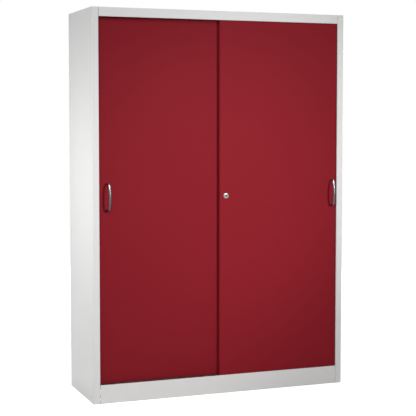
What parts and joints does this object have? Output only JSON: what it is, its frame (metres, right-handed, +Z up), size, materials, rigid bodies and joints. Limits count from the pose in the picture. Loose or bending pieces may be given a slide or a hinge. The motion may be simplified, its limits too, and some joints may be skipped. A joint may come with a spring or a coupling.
{
  "type": "steel storage cabinet",
  "caption": "Free-standing sheet-steel storage cabinet with two overlapping sliding doors on rollers, bow handles, a cam lock and adjustable shelves.",
  "frame": {"origin": "on the floor, at the middle of the overall box including the handles", "axes": "+Z up, the doors face -Y, +X to the right as seen from the front"},
  "size_m": [1.2, 0.434, 1.715],
  "materials": {
    "body_paint": "fine-textured light grey powder coat",
    "door_paint": "fine-textured ruby red powder coat",
    "zinc_plate": "bright zinc plating",
    "satin_handle": "satin nickel",
    "lock_nickel": "bright nickel",
    "white_nylon": "matt",
    "black_rubber": "matt"
  },
  "bodies": {
    "carcass": {"left_side_panel": "body_paint", "right_side_panel": "body_paint", "top_panel": "body_paint", "back_panel": "body_paint", "floor_panel": "body_paint", "plinth_front": "body_paint", "upper_guide_rail": "zinc_plate", "front_running_rail": "zinc_plate", "rear_running_rail": "zinc_plate", "left_buffers": "black_rubber", "right_buffers": "black_rubber", "front_left_upright": "body_paint", "rear_left_upright": "body_paint", "front_right_upright": "body_paint", "rear_right_upright": "body_paint", "shelf_1": "body_paint", "shelf_2": "body_paint", "shelf_3": "body_paint", "shelf_4": "body_paint", "shelf_clips": "zinc_plate", "foot_brackets": "zinc_plate", "foot_nuts": "zinc_plate"},
    "left_door": {"left_door_skin": "door_paint", "left_door_stiffener": "door_paint", "left_door_guides": "white_nylon", "left_outer_roller_bracket": "zinc_plate", "left_inner_roller_bracket": "zinc_plate", "left_outer_axle": "zinc_plate", "left_inner_axle": "zinc_plate", "left_handle": "satin_handle", "left_handle_screws": "zinc_plate", "lock_striker": "zinc_plate"},
    "right_door": {"right_door_skin": "door_paint", "right_door_stiffener": "door_paint", "right_door_guides": "white_nylon", "right_outer_roller_bracket": "zinc_plate", "right_inner_roller_bracket": "zinc_plate", "right_outer_axle": "zinc_plate", "right_inner_axle": "zinc_plate", "right_handle": "satin_handle", "right_handle_screws": "zinc_plate", "lock_housing": "lock_nickel", "lock_nut": "zinc_plate"},
    "lock": {"lock_plug": "lock_nickel", "lock_cam": "zinc_plate", "cam_screw": "zinc_plate"},
    "left_outer_wheel": {"left_outer_roller": "white_nylon"},
    "left_inner_wheel": {"left_inner_roller": "white_nylon"},
    "right_inner_wheel": {"right_inner_roller": "white_nylon"},
    "right_outer_wheel": {"right_outer_roller": "white_nylon"},
    "front_left_screw_foot": {"front_left_foot": "zinc_plate"},
    "front_right_screw_foot": {"front_right_foot": "zinc_plate"},
    "rear_left_screw_foot": {"rear_left_foot": "zinc_plate"},
    "rear_right_screw_foot": {"rear_right_foot": "zinc_plate"}
  },
  "joints": [
    {"name": "left_door_slide", "type": "slide", "parent": "carcass", "child": "left_door", "axis": [1, 0, 0], "range_m": [0, 0.5]},
    {"name": "right_door_slide", "type": "slide", "parent": "carcass", "child": "right_door", "axis": [1, 0, 0], "range_m": [-0.5, 0]},
    {"name": "lock_turn", "type": "hinge", "parent": "right_door", "child": "lock", "pos_m": [0.02, -0.173, 0.894], "axis": [0, 1, 0], "range_deg": [0, 90]},
    {"name": "left_outer_wheel_spin", "type": "hinge", "parent": "left_door", "child": "left_outer_wheel", "pos_m": [-0.483, -0.143, 0.0863], "axis": [0, 1, 0], "continuous": true},
    {"name": "left_inner_wheel_spin", "type": "hinge", "parent": "left_door", "child": "left_inner_wheel", "pos_m": [-0.062, -0.143, 0.0863], "axis": [0, 1, 0], "continuous": true},
    {"name": "right_inner_wheel_spin", "type": "hinge", "parent": "right_door", "child": "right_inner_wheel", "pos_m": [0.081, -0.165, 0.0863], "axis": [0, 1, 0], "continuous": true},
    {"name": "right_outer_wheel_spin", "type": "hinge", "parent": "right_door", "child": "right_outer_wheel", "pos_m": [0.502, -0.165, 0.0863], "axis": [0, 1, 0], "continuous": true},
    {"name": "front_left_foot_screw", "type": "slide", "parent": "carcass", "child": "front_left_screw_foot", "axis": [0, 0, -1], "range_m": [0, 0.014]},
    {"name": "front_right_foot_screw", "type": "slide", "parent": "carcass", "child": "front_right_screw_foot", "axis": [0, 0, -1], "range_m": [0, 0.014]},
    {"name": "rear_left_foot_screw", "type": "slide", "parent": "carcass", "child": "rear_left_screw_foot", "axis": [0, 0, -1], "range_m": [0, 0.014]},
    {"name": "rear_right_foot_screw", "type": "slide", "parent": "carcass", "child": "rear_right_screw_foot", "axis": [0, 0, -1], "range_m": [0, 0.014]}
  ],
  "couplings": [
    {"joint": "left_outer_wheel_spin", "follows": "left_door_slide", "rad_per_m": 83.333},
    {"joint": "left_inner_wheel_spin", "follows": "left_door_slide", "rad_per_m": 83.333},
    {"joint": "right_inner_wheel_spin", "follows": "right_door_slide", "rad_per_m": 83.333},
    {"joint": "right_outer_wheel_spin", "follows": "right_door_slide", "rad_per_m": 83.333}
  ]
}
